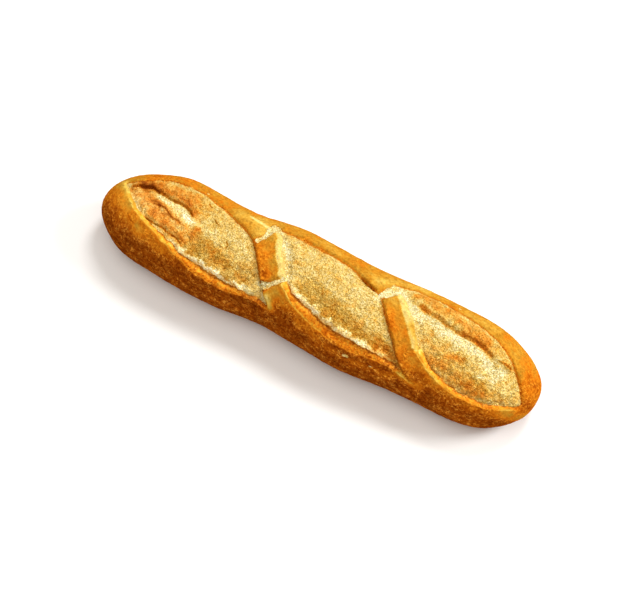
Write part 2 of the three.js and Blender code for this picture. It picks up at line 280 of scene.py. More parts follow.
MIDDLE_SLASH = [
    (-37, 18.5, 0.4, 1.2, 0.8),
    (-21, 18.5, 0.7, 1, 1.4),
    (12, 18, 0.7, 1, 1.5),
    (26, 13.5, 0.8, 1, 1.5),
    (38, 8, 0.8, 1, 1.5),
    (47, -3.5, 1.1, 1, 1.7),
    (56, -14.5, 1.2, 1, 1.8),
    (65.5, -26, 1.1, 1.2, 1.8),
    (78, -33.5, 0.4, 1.5, 0.6),
    (68, -31, 1.2, 2, 1.6),
    (56, -28.3, 1.6, 2.4, 0.8),
    (40, -29, 1.9, 4, 0.8),
    (22, -27.8, 1.9, 4, 0.8),
    (6, -24.6, 1.9, 4.1, 0.8),
    (-6, -20, 1.8, 3.4, 0.9),
    (-14, -14.5, 1.4, 2.8, 1.2),
    (-18, -9, 0.9, 5, 2.0),
    (-26, 3, 0.9, 5, 1.8),
    (-32, 12, 0.6, 4, 1.2),
]
RIGHT_SLASH = [
    (41, 19.5, 0.4, 1.5, 0.8),
    (52, 23.2, 0.7, 1, 1.0),
    (72, 22.7, 0.7, 1, 1.0),
    (90, 19.7, 0.7, 1, 1.0),
    (106, 15.1, 0.7, 1, 1.1),
    (118, 8.4, 0.7, 1, 1.2),
    (128, -1.8, 0.6, 1, 1.2),
    (134.5, -12, 0.4, 1.5, 0.6),
    (127, -19, 1.0, 1.5, 0.9),
    (114, -25, 1.3, 1.8, 1.0),
    (98, -26.2, 1.4, 1.8, 1.0),
    (84, -22.8, 1.4, 2, 1.1),
    (74, -17.5, 1.2, 3, 1.6),
    (67, -12, 1.0, 5, 1.6),
    (59, -2, 0.9, 6, 1.5),
    (50, 9, 0.8, 6, 1.4),
]
SLASHES = (LEFT_SLASH, MIDDLE_SLASH, RIGHT_SLASH)
LIP, FACE, DEPTH = 2, 3, 4  # columns of an outline
print("the highest lip stands", max(point[LIP] for slash in SLASHES for point in slash), "mm up")

# %% [markdown]
# Every detail is placed by its distance from a line. So we need a smooth line through a few points, the
# nearest place on it for all vertices at once, and a test of which vertices a closed one goes round.
# A boolean cut would leave hard edges.


# %% Lines on the skin and distances from them
def smooth_line(points, closed=False, pieces=5):
    """A Catmull-Rom line through points (x, w), as x, w and t, which counts the points."""
    p = np.array([q[:2] for q in points], float)
    if closed:
        p = np.concatenate([p[-1:], p, p[:2]])
    else:
        p = np.concatenate([2 * p[:1] - p[1:2], p, 2 * p[-1:] - p[-2:-1]])
    spans = len(p) - 3
    t = np.arange(spans * pieces + 1) / pieces
    i = np.minimum(t.astype(int), spans - 1)
    s = (t - i)[:, None]
    a, b, c, d = (p[i + k] for k in range(4))
    line = 2 * b + s * (c - a) + s**2 * (2 * a - 5 * b + 4 * c - d) + s**3 * (3 * b - a - 3 * c + d)
    return np.column_stack([0.5 * line, t])


def nearest(line, x, w):
    """Distance to a line, t of the nearest place on it, and the side: +1 to the left of its way."""
    best = np.full(len(x), np.inf)
    t, side = np.zeros(len(x)), np.ones(len(x))
    for (ax, aw, at), (bx, bw, bt) in zip(line[:-1], line[1:]):
        dx, dw = bx - ax, bw - aw
        share = np.clip(((x - ax) * dx + (w - aw) * dw) / (dx * dx + dw * dw), 0, 1)
        ex, ew = x - ax - share * dx, w - aw - share * dw
        distance = np.hypot(ex, ew)
        closer = distance < best
        best[closer] = distance[closer]
        t[closer] = (at + share * (bt - at))[closer]
        side[closer] = np.where(dx * ew - dw * ex >= 0, 1.0, -1.0)[closer]
    return best, t, side


def inside(line, x, w):
    """Whether a closed line goes round each place, by counting crossings."""
    odd = np.zeros(len(x), bool)
    for (ax, aw, _), (bx, bw, _) in zip(line[:-1], line[1:]):
        if aw != bw:
            odd ^= ((aw > w) != (bw > w)) & (x < ax + (w - aw) / (bw - aw) * (bx - ax))
    return odd


def column_along(points, column, t):
    """A column of a closed outline at t."""
    values = np.array([p[column] for p in points] + [points[0][column]])
    return np.interp(t, np.arange(len(values)), values)


opened = sum(inside(smooth_line(points, closed=True), x, w).sum() for points in SLASHES)
print(opened, "vertices lie inside a slash")

# %% [markdown]
# A step shows where an opening tore a second time, a crumbly ridge stands where the lip came away, and
# the bridges are cracked across. These are lines on the skin with a profile across them.

# %% Lines in the openings and on the bridges, in millimetres
LEDGES = [
    # line, rise
    ([(-124, 4), (-114, 7.2), (-103, 6.2), (-95, 5.2), (-87, 4.8), (-79, 1)], 1.6),
    ([(46, 16), (60, 13), (78, 9.4), (92, 7.2), (103, 5.8), (113, 2), (124, 0)], 1.5),
]
RIDGES = [
    [(-84, -20.6), (-74, -20.8), (-64, -21.2), (-53, -22.6), (-44, -23.4), (-36, -26), (-26, -28.8)],
    [(-12, -13), (-4, -15.8), (6, -17.4), (16, -18.6), (26, -20.4), (38, -23.2),
     (50, -26.2), (60, -27.6)],
]
FIRST_CRACK = [(-33.5, 19.5), (-36, 13.5), (-37, 8), (-40, 2.5)]
SECOND_CRACK = [(-26, -19.5), (-21.5, -18), (-17.5, -14), (-14, -9.5)]
THIRD_CRACK = [(46, 17.5), (42, 12), (37, 7)]
CRACKS = [
    # line, half-width, depth
    (FIRST_CRACK, 1.9, 0.9),
    (SECOND_CRACK, 2, 1.6),
    (THIRD_CRACK, 3, 1.4),
]
print(len(LEDGES), "steps,", len(RIDGES), "ridges and", len(CRACKS), "cracks")

# %% [markdown]
# Where the swelling dough folded or stuck, it left narrow furrows and low streaks. They are too small
# for the CAD solid's facets, so only this finer skin has them.

# %% Fine seams and streaks, in millimetres
LOWER_SEAM = [(-104, -12.4), (-99, -13.6), (-94, -13.8), (-88, -15), (-82, -15.8), (-77, -18)]
RIGHT_SEAM = [(60, 12.6), (70, 10.2), (78, 8.2), (86, 6.8),
              (95, 6.2), (102, 5.6), (108, 3), (113, -0.6)]
SHORT_SEAM = [(24, 13.4), (34, 9.4)]
UPPER_STREAK = [(-106, 0), (-99, -0.8), (-93, -3.4), (-87, -5.2), (-80, -6.8)]
LOWER_STREAK = [(-104, -9.6), (-96, -10.4), (-88, -11.6), (-81, -12.2), (-78, -15)]
FURROWS = [
    # line, half-width, rise
    ([(-121, 4.6), (-112, 7.2), (-103, 5.8), (-95, 4.6), (-87, 4.2), (-80, 1.4)], 0.8, -0.6),
    ([(-114, 11.5), (-110, 14.4), (-103, 15.6), (-95, 16.6)], 0.6, -0.6),
    (LOWER_SEAM, 0.7, -0.5),
    (RIGHT_SEAM, 1.0, -0.9),
    (SHORT_SEAM, 0.8, -1.0),
    (UPPER_STREAK, 1.8, 0.8),
    (LOWER_STREAK, 1.6, 0.8),
]
print("the deepest furrow goes", -min(rise for _, _, rise in FURROWS), "mm down")

# %% [markdown]
# Torn dough is rough. Random relief is made from a lattice of numbers that a seed fixes, blended
# between its corners, so the loaf comes out the same at each run. A displacement modifier could roughen
# the mesh too, but it couldn't move the lines that all is measured from.

# %% Lattice noise
LATTICE = 8192
LATTICE_STEPS = np.array([73856093, 19349663, 83492791])  # big primes mix up neighbouring cells


def grain(places, size, seed):
    """Smooth random values from -1 to 1 whose bumps are about `size` across."""
    table = np.random.default_rng(seed).uniform(-1, 1, LATTICE)
    cell = np.floor(places / size).astype(np.int64)
    part = places / size - cell
    part = part * part * part * (part * (part * 6 - 15) + 10)
    total = np.zeros(len(places))
    for corner in np.ndindex(2, 2, 2):
        share = np.prod(np.where(corner, part, 1 - part), axis=1)
        total += share * table[(cell + corner) @ LATTICE_STEPS % LATTICE]
    return total


def layered_grain(places, size, layers, seed):
    """Grain with ever finer and weaker layers on top."""
    total = np.zeros(len(places))
    for layer in range(layers):
        total += grain(places, size / 2**layer, seed + layer) / 2**layer
    return total


print("grain lies", round(np.abs(grain(plain, 4, seed=1)).mean(), 2), "from nought")

# %% [markdown]
# The knife draws a smooth line, but dough tears along a ragged one. So each vertex measures its
# distances from a place that has strayed a little. The far edges and the right end parted cleanly.

# %% Where each vertex of the upper skin looks
UPPER_SKIN = 50  # only skin closer to the crown than this has forms and colours of its own
TEAR_WANDER = 0.6  # how far a torn edge strays from its outline
CLEAN_WANDER = 0.3
TORN_SIDE = (8, -12)  # w over which edges turn from clean to torn
TORN_END = (80, 66)  # x over which they do
WANDER_ALONG = 0.6  # an edge strays less along the loaf than across it
TEAR_SIZE = 5
TEAR_LAYERS = 4

top = np.abs(w) < UPPER_SKIN
tp = plain[top]
torn_here = smooth(*TORN_SIDE, w[top]) * smooth(*TORN_END, x[top])
stray = CLEAN_WANDER + (TEAR_WANDER - CLEAN_WANDER) * torn_here
tx = x[top] + WANDER_ALONG * stray * layered_grain(tp, TEAR_SIZE, TEAR_LAYERS, seed=11)
tw = w[top] + stray * layered_grain(tp, TEAR_SIZE, TEAR_LAYERS, seed=23)

edges = []
for points in SLASHES:
    line = smooth_line(points, closed=True)
    distance, t, _ = nearest(line, tx, tw)
    edges.append((points, distance, inside(line, tx, tw), t))
print("edges stray by up to", round(np.abs(tw - w[top]).max(), 2), "mm")

# %% [markdown]
# At the foot of the inner face the opening is deepest, and the swollen dough rises again further in.
# Over that go the steps, ridges, seams and streaks, each a profile that fades out at its line's ends.

# %% Height of the floor
FLOOR_RECOVERY = 3  # how far in from the face the floor has risen again
FLOOR_SINK = 0.7  # how far the middle of an opening lies below the plain dough
FLOOR_SINK_REACH = 14
LEDGE_STEP = 1.6
LEDGE_REACH = 16
RIDGE_RISE = 1.3
RIDGE_FAR_WIDTH = 3.6
RIDGE_NEAR_WIDTH = 1.4
CLEFT_DEPTH = 0.3
CLEFT_WIDTH = 0.6
CLEFT_OFFSET = 2.0
END_FADE = 0.12  # share of a line over which its profile fades


def fade_ends(t, points, share=END_FADE):
    run = t / (len(points) - 1)
    return smooth(0, share, run) * smooth(0, share, 1 - run)


def floor_at(distance, face, deep, jag, x, w):
    beyond = np.maximum(distance - face, 0)
    floor = -deep * np.exp(-beyond / FLOOR_RECOVERY)
    floor -= FLOOR_SINK * smooth(face, FLOOR_SINK_REACH, distance)
    for points, rise in LEDGES:
        d, t, side = nearest(smooth_line(points), x, w)
        step = smooth(-LEDGE_STEP / 2, LEDGE_STEP / 2, d * side) - 0.5
        floor += np.where(d < LEDGE_REACH, rise * fade_ends(t, points) * step, 0)
    for points in RIDGES:
        d, t, side = nearest(smooth_line(points), x, w)
        across = d * side + jag
        flank = np.where(across > 0, RIDGE_FAR_WIDTH, RIDGE_NEAR_WIDTH)
        profile = RIDGE_RISE * hump(across, flank)
        profile -= CLEFT_DEPTH * hump(across + CLEFT_OFFSET, CLEFT_WIDTH)
        floor += profile * fade_ends(t, points)
    for points, width, rise in FURROWS:
        d, t, _ = nearest(smooth_line(points), x, w)
        floor += rise * hump(d, width) * fade_ends(t, points)
    return floor


print("a ridge is", RIDGE_FAR_WIDTH + RIDGE_NEAR_WIDTH, "mm wide")

# %% [markdown]
# Outside an outline the crust swells into a lip, and inside it the skin goes down a face to the floor.
# The cracks are shallow troughs in the crust, in which torn crumb shows.

# %% Relief of the openings
LIP_REACH = 7
LIP_UNEVENNESS = 0.35
LIP_LUMPS = 4
NARROWEST_FACE = 0.5
RIDGE_JAG = 0.9  # how far a ridge wanders sideways, and the size of its bends
RIDGE_JAG_SIZE = 2.6
CRACK_WALL = 0.8
CRACK_END_FADE = 0.02
CRACK_TAPER = 0.5  # each crack narrows along its line
CRACK_JAG = 1.1
CRACK_JAG_SIZE = 2.8
CLOSED_CRACK = 9  # how far out of reach the crumb is where a crack has closed
FAR_AWAY = 99.0

crust_lift, opening = np.zeros(len(tx)), np.zeros(len(tx), bool)
distance, face, deep = (np.zeros(len(tx)) for _ in range(3))
for points, d, here, t in edges:
    lip = column_along(points, LIP, t) * (1 + LIP_UNEVENNESS * grain(tp, LIP_LUMPS, seed=31))
    crust_lift = np.maximum(crust_lift, lip * hump(d, LIP_REACH))
    opening |= here
    distance[here] = d[here]
    face[here] = column_along(points, FACE, t)[here]
    deep[here] = column_along(points, DEPTH, t)[here]
crumb_edge = np.full(len(tx), -FAR_AWAY)  # distance in from the edge of the torn crumb
for points, half, depth in CRACKS:
    d, t, _ = nearest(smooth_line(points), tx, tw)
    open_here = fade_ends(t, points, CRACK_END_FADE)
    crust_lift -= depth * (1 - smooth(half - CRACK_WALL, half + CRACK_WALL, d)) * open_here
    half = half * (CRACK_TAPER + (2 - 2 * CRACK_TAPER) * (1 - t / (len(points) - 1)))
    half = half + CRACK_JAG * grain(tp, CRACK_JAG_SIZE, seed=83)
    crumb_edge = np.maximum(crumb_edge, half - d - CLOSED_CRACK * (1 - open_here))
jag = RIDGE_JAG * grain(tp, RIDGE_JAG_SIZE, seed=61)
torn = np.where(opening, smooth(0, np.maximum(face, NARROWEST_FACE), distance), 0)
lift = np.zeros(len(x))
lift[top] = crust_lift * (1 - torn) + floor_at(distance, face, deep, jag, tx, tw) * torn
print("the skin is lifted from", round(lift.min(), 2), "to", round(lift.max(), 2), "mm")

# %% [markdown]
# The crust still covers most of a face, because it dried while the dough tore under it. So the crumb's
# edge lies inside the outline: nearly at the foot of a steep face, but half-way down a broad slope.

# %% Edge of the crumb
CRUST_ON_FACE = 0.9
CRUST_ON_SLOPE = 0.5
SLOPE_FROM, SLOPE_TO = 4.2, 4.8  # face widths at which a face becomes a slope
SWELL = 1.5  # the middle slash's near face is widest here
SWELL_AT = 26
SWELL_WIDTH = 20
SWELL_BELOW = -10  # w, so that the far edge has no swell
CRUMB_BLEND = 0.6

for points, d, here, t in edges:
    width = column_along(points, FACE, t)
    covered = CRUST_ON_FACE + (CRUST_ON_SLOPE - CRUST_ON_FACE) * smooth(SLOPE_FROM, SLOPE_TO, width)
    reach = width * covered + SWELL * hump(tx - SWELL_AT, SWELL_WIDTH) * (tw < SWELL_BELOW)
    crumb_edge = np.maximum(crumb_edge, np.where(here, d, -d) - reach)
crumb_share = smooth(-CRUMB_BLEND, CRUMB_BLEND, crumb_edge)
print(round(100 * crumb_share.sum() / len(x)), "% of the vertices are crumb")

# %% [markdown]
# Crust is nearly smooth, with broad low waves. Crumb has lumps of several sizes, one for each layer of
# noise, and creases between them.

# %% Roughness of crumb and crust
CRUMB_LAYERS = [(6, 0.5, 41), (3, 0.45, 42), (1.7, 0.36, 43)]  # bump size, height, seed
CRUST_LAYERS = [(16, 0.35, 51), (4, 0.12, 52), (1.7, 0.08, 53)]
CREASE_DEPTH = 0.6
CREASE_SIZE = 3.2
CREASE_SHARPNESS = 2.2
CREASE_EDGE = (0.55, 0.95)

crumb_relief = sum(height * grain(tp, size, seed) for size, height, seed in CRUMB_LAYERS)
crest_lines = 1 - np.abs(grain(tp, CREASE_SIZE, seed=47)) * CREASE_SHARPNESS  # 1 where noise is nought
creases = -CREASE_DEPTH * smooth(*CREASE_EDGE, crest_lines)
crust_relief = sum(height * grain(plain, size, seed) for size, height, seed in CRUST_LAYERS)
lift += crust_relief
lift[top] += crumb_share * (crumb_relief + creases - crust_relief[top])
print("the crust's waves are up to", round(np.abs(crust_relief).max(), 2), "mm high")

# %% [markdown]
# Each vertex moves out along the way that the plain skin faces there. The mesh's own normals are uneven
# next to a pole, so the facing comes from the skin's two coordinates. Then the loaf is centred.

# %% Lift the skin along the way that it faces
PROBE = 0.2  # how far to each side the skin is looked at
NO_LENGTH = 1e-9


def outward_at(x, w):
    share = w / np.maximum(girth_at(x), AT_A_POLE)
    ahead, behind = (np.clip(x + step, -LENGTH / 2, LENGTH / 2) for step in (PROBE, -PROBE))
    along_skin = skin_at(ahead, share * girth_at(ahead)) - skin_at(behind, share * girth_at(behind))
    round_skin = skin_at(x, w + PROBE) - skin_at(x, w - PROBE)
    normal = np.cross(along_skin, round_skin)
    length = np.linalg.norm(normal, axis=1, keepdims=True)
    return normal / np.maximum(length, NO_LENGTH)


places = plain + outward_at(x, w) * lift[:, None]
places[:, 2] = np.maximum(places[:, 2], 0)
middle = (places.min(axis=0) + places.max(axis=0)) / 2
places[:, :2] -= middle[:2]
loaf.data.vertices.foreach_set("co", (places * MM).ravel())
loaf.data.update()
bpy.ops.object.shade_smooth()
print("the loaf's middle was at", np.round(middle[:2], 2), "mm")

# %% [markdown]
# The crust browns most where it faces the oven's sides and floor, and stays golden on the far shoulder.
# This is painted as a number on the vertices, which the material turns into a colour. An image texture
# could hold it too, but vertices this close together need none.

# %% Browning of the whole crust
# x, and how far down the near side the crust starts and ends to turn brown
NEAR_BROWNING = [(-140, -12, 12), (-120, 0, 28), (-100, 16, 33), (140, 18, 34)]
FAR_BAKE = 0.42
NEAR_BAKE = 0.9
UNDER_BROWN, UNDER_GOLDEN = 3, 17  # heights between which the brown of the underside fades

start, end = (smooth_table(NEAR_BROWNING, column, x) for column in (1, 2))
oven = FAR_BAKE + (NEAR_BAKE - FAR_BAKE) * smooth(start, end, -w)
oven += (NEAR_BAKE - oven) * (1 - smooth(UNDER_BROWN, UNDER_GOLDEN, plain[:, 2]))
bake = oven[top]
print("the upper skin's mean bake is", round(bake.mean(), 2))

# %% [markdown]
# A lip's inner face was covered until the slash opened, so it is less brown than the outside, and a
# broad slope stays palest. The same loop notes the distance to the nearest outline and its kind.

# %% Browning beside the edges
BAND_BAKE = 0.56
SLOPE_BAKE = -0.08
ROUGH_LIP = (1.0, 1.5)  # lip heights over which an edge turns from clean to rough
FOOT_BAKE = 0.2
FOOT = (0.6, 1.3)  # shares of a face's width
WIDE_FACE = (2, 3.5)  # only faces this wide show a band
BAND_START = 0.8  # how far inside the outline the band is at its full strength
SLOPE_LEAD = 1.8  # how much further out a slope's paleness starts
LEE_OFFSET = 2.2  # the crust just outside a lifted lip gets a painted shadow, as a darker bake
LEE_WIDTH = 1.3
LIP_SHADOW_BAKE = 0.08

rim = np.full(len(tx), FAR_AWAY)  # distance in from the nearest outline
near_lip, far_lip = np.zeros(len(tx)), np.zeros(len(tx))
for points, d, here, t in edges:
    lip, width = column_along(points, LIP, t), column_along(points, FACE, t)
    rough_lip = smooth(*ROUGH_LIP, lip)
    band = SLOPE_BAKE + (BAND_BAKE - SLOPE_BAKE) * rough_lip
    band += FOOT_BAKE * rough_lip * smooth(*FOOT, d / width)
    signed = np.where(here, d, -d)
    is_slope = smooth(SLOPE_FROM, SLOPE_TO, width)
    lead = SLOPE_LEAD * is_slope
    bake += (band - bake) * smooth(*WIDE_FACE, width) * smooth(-lead, BAND_START - lead, signed)
    right_tip = max(range(len(points)), key=lambda i: points[i][0])
    far_edge = t < right_tip
    # painted shadow on the crust just outside a lifted near lip
    bake += LIP_SHADOW_BAKE * ~here * ~far_edge * rough_lip * hump(d - LEE_OFFSET, LEE_WIDTH)
    closer = d < np.abs(rim)
    rim[closer] = signed[closer]
    near_lip[closer] = (~far_edge * lip * (1 - is_slope))[closer]
    far_lip[closer] = far_edge[closer]
print(int((np.abs(rim) < LEE_OFFSET).sum()), "vertices are close to an edge")

# %% [markdown]
# No oven is even, and every loaf has its own dark and light places. They are soft brush strokes: a line
# on the skin, a width and a change.

# %% Darker and paler places on the crust
BRIDGE_SCAR = [(-38, 15.6), (-44, 18), (-51, 20.4)]
CRUST_STROKES = [
    # line, half-width, change of bake
    ([(-57, 19), (-47, 16.5), (-40, 11)], 5.5, -0.24),
    ([(32, 17), (42, 22), (54, 26)], 4, -0.2),
    ([(44, 8), (52, 1)], 4, -0.12),
    ([(-40, 0), (-30, -12), (-24, -22)], 4, 0.12),
    (BRIDGE_SCAR, 0.7, -0.6),
    ([(120, -23), (129, -18), (135, -10)], 5, 0.16),
    ([(46, 4), (54, -8), (62, -20)], 5, 0.12),
    ([(-20, -24), (-16, -30)], 2.2, -0.5),
    ([(62, -2), (67, -8), (74, -15)], 3, 0.22),
    ([(53, 8), (58, 2), (66, -7)], 4, 0.12),
    ([(4, -29), (20, -33), (50, -35), (62, -35)], 4, -0.2),
    ([(84, -25), (100, -29), (116, -28), (128, -21)], 3.5, -0.16),
    ([(66, -31), (79, -33)], 3.2, -0.35),
    ([(137, 22), (139, 4), (138, -8)], 7, 0.16),
    ([(-139, 14), (-138, 2)], 6, 0.05),
    ([(-127, 0), (-119, -8), (-106, -17), (-94, -23)], 4, 0.1),
    ([(-129, 7), (-122, 0.5)], 2.4, -0.2),
    ([(-124, -3), (-116, -11), (-104, -20), (-92, -25), (-82, -27.5)], 3.5, -0.08),
    ([(-64, 19), (-54, 17), (-46, 14)], 5, 0.1),
    ([(-37, 4), (-30, -6), (-24, -14)], 4, 0.09),
    ([(-31, -8), (-26, -18), (-22, -26)], 4.5, 0.07),
    ([(110, 22), (124, 13), (131, 2)], 5, 0.1),
    ([(-118, 16), (-110, 20), (-98, 23)], 3.5, 0.1),
    ([(-112, 18), (-98, 23), (-74, 22.5), (-60, 21)], 5, 0.05),
    ([(58, 28), (84, 27), (106, 22), (120, 15)], 5, -0.07),
]


def add_strokes(field, strokes):
    for points, width, change in strokes:
        field += change * hump(nearest(smooth_line(points), tx, tw)[0], width)


add_strokes(bake, CRUST_STROKES)
print("the bake runs from", round(bake.min(), 2), "to", round(bake.max(), 2))

# %% [markdown]
# Torn crumb stays creamy where it opened last and toasts to gold where it stands up, so its number is
# called gold, and its strokes follow the tears.

# %% Creamier and more golden places on the crumb
CRUMB_GOLD = 0.36
CRUMB_STROKES = [
    # line, half-width, change of gold
    ([(-72, -13), (-50, -15), (-32, -18)], 5, 0.17),
    ([(18, -13), (40, -17), (54, -22)], 5, 0.2),
    ([(78, -15), (96, -19), (110, -18)], 5, 0.33),
    ([(112, -18), (128, -13)], 4, 0.15),
    ([(56, 9), (68, 7.4), (80, 4.8), (90, 2.6), (100, 1.4), (108, -1), (114, -4)], 4.6, -0.5),
    ([(38, 7), (42, 12), (48, 14), (54, 11)], 3, -0.4),
    ([(-122, 4), (-108, 0), (-100, -6)], 8, 0.3),
    ([(-112, 2), (-100, 0), (-88, -6)], 10, 0.12),
    ([(-100, -9), (-86, -10), (-74, -9)], 6, 0.22),
    ([(-120, 8.6), (-109, 11.6), (-100, 12.4), (-92, 11.2), (-84, 9.6), (-78, 6)], 4, 0.3),
    ([(-116, 8.4), (-110, 9), (-103, 8), (-96, 7), (-90, 6.8), (-84, 5.6), (-79, 2.6)], 2.4, 0.4),
    ([(-105, -0.2), (-99, -1)], 1.8, 0.15),
    ([(-103, 3.6), (-95, 1.8), (-88, 1), (-82, -1.5)], 2.4, -0.4),
    ([(-81, -1.5), (-77, -4.5)], 1.8, -0.35),
    ([(56, 17), (72, 16), (88, 13.5), (102, 9.5)], 4, 0.4),
    ([(102, 9.5), (114, 6), (122, 1)], 3.5, 0.2),
    ([(72, -3), (82, -7), (93, -9)], 5, 0.16),
    ([(86, -9.4), (91, -7.8), (95, -7)], 2, 0.2),
    ([(101, -18.5), (107, -21)], 2.4, 0.3),
    ([(104, -13), (109, -10.2), (116, -9)], 0.8, -0.25),
    ([(7, 5.5), (13, 5.1)], 1.5, 0.22),
    ([(7, -4), (9, -8)], 0.9, 0.25),
    ([(-23, 1.4), (-20.5, -1.3), (-19.5, -4.6)], 0.9, 0.4),
    ([(-24, 8), (-19, 2.6)], 2.2, -0.3),
    ([(-31, 16), (-27, 9), (-21, 2), (-15, -6)], 3, -0.15),
    ([(-84, -19.6), (-64, -20), (-52, -21.4), (-40, -23), (-28, -27)], 3, -0.02),
    ([(-8, -14.6), (8, -17), (22, -18.8), (38, -22), (54, -25.6)], 3, -0.02),
    (UPPER_STREAK, 1.1, 0.25),
    (LOWER_STREAK, 1.3, 0.2),
    ([(-75, -7.6), (-72, -3.5)], 1.2, 0.35),
    (FIRST_CRACK, 2.2, -0.3),
    (SECOND_CRACK, 2.4, -0.4),
    (THIRD_CRACK, 3, -0.25),
    ([(62, 12.2), (78, 8.6), (95, 6.6), (108, 3.4)], 2.2, 0.35),
    ([(50, -19), (60, -25), (67, -29.5)], 3.4, 0.3),
    ([(-88, 12), (-78, 12), (-68, 10)], 5, 0.16),
]
gold = np.full(len(tx), CRUMB_GOLD)
add_strokes(gold, CRUMB_STROKES)
print("the gold runs from", round(gold.min(), 2), "to", round(gold.max(), 2))

# %% [markdown]
# The seeds on the crust are so small that colour alone shows them. Strokes of painted light and shade
# lighten and darken broad places. Seams get a crisp painted shade, so the mesh carries the distance to
# the nearest.

# %% Seeds, painted light and shade, and seams
SEEDS = [(-80, 20, 1.2), (34, -32.7, 2), (50, -33.4, 1.2), (80, 23.8, 1.1)]  # x, w, half-length
SEED_SLIMNESS = 0.65
SEED_CREAM = 0.25
SEED_HALO = 1.2
# painted light and shade: strokes that make places lighter or darker as light would
PAINTED_LIGHT_AND_SHADE = [
    # line, half-width, change of shade
    ([(-116, -2), (-104, -4), (-92, -5), (-80, -8)], 8, 0.34),
    (BRIDGE_SCAR, 0.7, 0.15),
    ([(50, -19), (58, -24), (66, -29)], 3, -0.1),
    ([(-129, 7), (-124, 1)], 4, 0.18),
    ([(-70, -13), (-50, -15), (-34, -17)], 4, -0.06),
    ([(-4, -12), (15, -14), (40, -18), (54, -21)], 4, -0.06),
    ([(104, -13.6), (113, -15.6)], 2, -0.22),
    ([(-128, -6), (-112, -18), (-96, -26)], 6, 0.17),
    ([(-119, 7.5), (-108, 10.5), (-96, 10.5), (-86, 8.5)], 3.5, 0.1),
    ([(-22, -24), (-18, -28)], 2.5, 0.25),
    ([(-104, 10), (-92, 9.6), (-80, 8)], 5, 0.02),
    ([(-60, -18), (-46, -22), (-36, -24)], 3, 0.1),
]
# painted shade along the seams and under the ledges
SEAM_SHADE_LINES = [
    # line, half-width, change of shade
    ([(-121, 4.4), (-116, 6.6), (-110, 7.5)], 0.8, -0.5),
    ([(-110, 7.3), (-103, 5.8), (-97, 4.6), (-91, 4.5)], 0.9, -0.4),
    ([(-91, 4.5), (-86, 4), (-83, 3.2), (-80, 1.4)], 0.8, -0.45),
    (LOWER_SEAM, 0.7, -0.35),
    ([(-104, -1.8), (-97, -2.4), (-91, -5.4), (-84, -7)], 0.7, -0.25),
    (RIGHT_SEAM, 1.5, -0.1),
    ([(113, 2.6), (120, 2)], 0.9, -0.35),
    ([(27, 10.8), (32, 10.2)], 0.8, -0.4),
    ([(-75, 13.4), (-73, 12)], 0.6, -0.5),
    ([(-67, 5.8), (-65.4, 4.8), (-64, 3.8)], 0.6, -0.4),
    ([(-55, -2.6), (-53.4, -4.6), (-53.6, -7)], 0.6, -0.3),
    (SHORT_SEAM, 1.0, -0.4),
    ([(-115, -13), (-109, -17)], 0.5, -0.45),
]
NO_SEAM = 9.0  # half-widths

for seed_x, seed_w, size in SEEDS:
    reach = np.hypot(tx - seed_x, (tw - seed_w) / SEED_SLIMNESS) / size
    crumb_edge = np.maximum(crumb_edge, 1 - reach)
    gold -= SEED_CREAM * hump(reach, SEED_HALO)
shade = np.ones(len(tx))
add_strokes(shade, PAINTED_LIGHT_AND_SHADE)
seam, seam_shade = np.full(len(tx), NO_SEAM), np.zeros(len(tx))  # half-widths off the nearest line
for points, width, change in SEAM_SHADE_LINES:
    off = nearest(smooth_line(points), tx, tw)[0] / width
    seam_shade[off < seam] = change
    seam = np.minimum(seam, off)
print("the shade runs from", round(shade.min(), 2), "to", round(shade.max(), 2))

# %% [markdown]
# A mesh can carry numbers on its vertices as named attributes, which a material reads by name. Only
# the upper skin has numbers of its own, and the skin below it gets plain ones.

# %% Attributes of the loaf
DISTANCE_LIMIT = 8  # millimetres, beyond which a distance no longer matters


def limited(distance):
    return np.clip(distance, -DISTANCE_LIMIT, DISTANCE_LIMIT)


painted = {
    "crumb": (limited(crumb_edge), -DISTANCE_LIMIT),
    "bake": (bake, oven),
    "gold": (gold, CRUMB_GOLD),
    "shade": (shade, 1),
    "seam": (seam, NO_SEAM),
    "seam_shade": (seam_shade, 0),
    "rim": (limited(rim), -DISTANCE_LIMIT),
    "near_lip": (near_lip, 0),  # height of the lip on the near side
    "far_lip": (far_lip, 0),
}
for name, (values, rest) in painted.items():
    everywhere = np.full(len(x), rest, np.float32)
    everywhere[top] = values
    loaf.data.attributes.new(name, "FLOAT", "POINT").data.foreach_set("value", everywhere)
print(len(painted), "attributes are painted on", len(x), "vertices")

# %% [markdown]
# A material is a small program over the surface. Node by node it is hard to read, so one class wraps a
# socket and lets Python's own operators add the Math nodes, and another adds any other node.


# %% Fields
class Field:
    """A number that varies over the surface: a socket of one material's tree."""

    def __init__(self, finish, socket):
        self.finish, self.socket = finish, socket

    def _math(self, operation, first, second):
        return self.finish.node("ShaderNodeMath", {"operation": operation}, {0: first, 1: second})

    def __add__(self, other):
        return self._math("ADD", self, other)

    __radd__ = __add__

    def __sub__(self, other):
        return self._math("SUBTRACT", self, other)

    def __rsub__(self, other):
        return self._math("SUBTRACT", other, self)

    def __abs__(self):
        return self._math("ABSOLUTE", self, 0)

    def __mul__(self, other):
        return self._math("MULTIPLY", self, other)

    __rmul__ = __mul__

    def __pow__(self, power):
        return self._math("POWER", self, power)

    def at_least(self, other):
        return self._math("MAXIMUM", self, other)

    def at_most(self, other):
        return self._math("MINIMUM", self, other)


print("a field has", sum(name.startswith("__r") for name in vars(Field)), "reflected operators")

# %% [markdown]
# Bread needs only a few patterns, all made from noise. Where noise crosses its own middle it draws thin
# curly lines, like hair cracks, or rounded folds, like crumpled paper.

# %% Finishes
PATCH_EDGE = (-0.05, 0.12)  # levels of the noise over which a patch begins
FOLD_SHARPNESS = 8


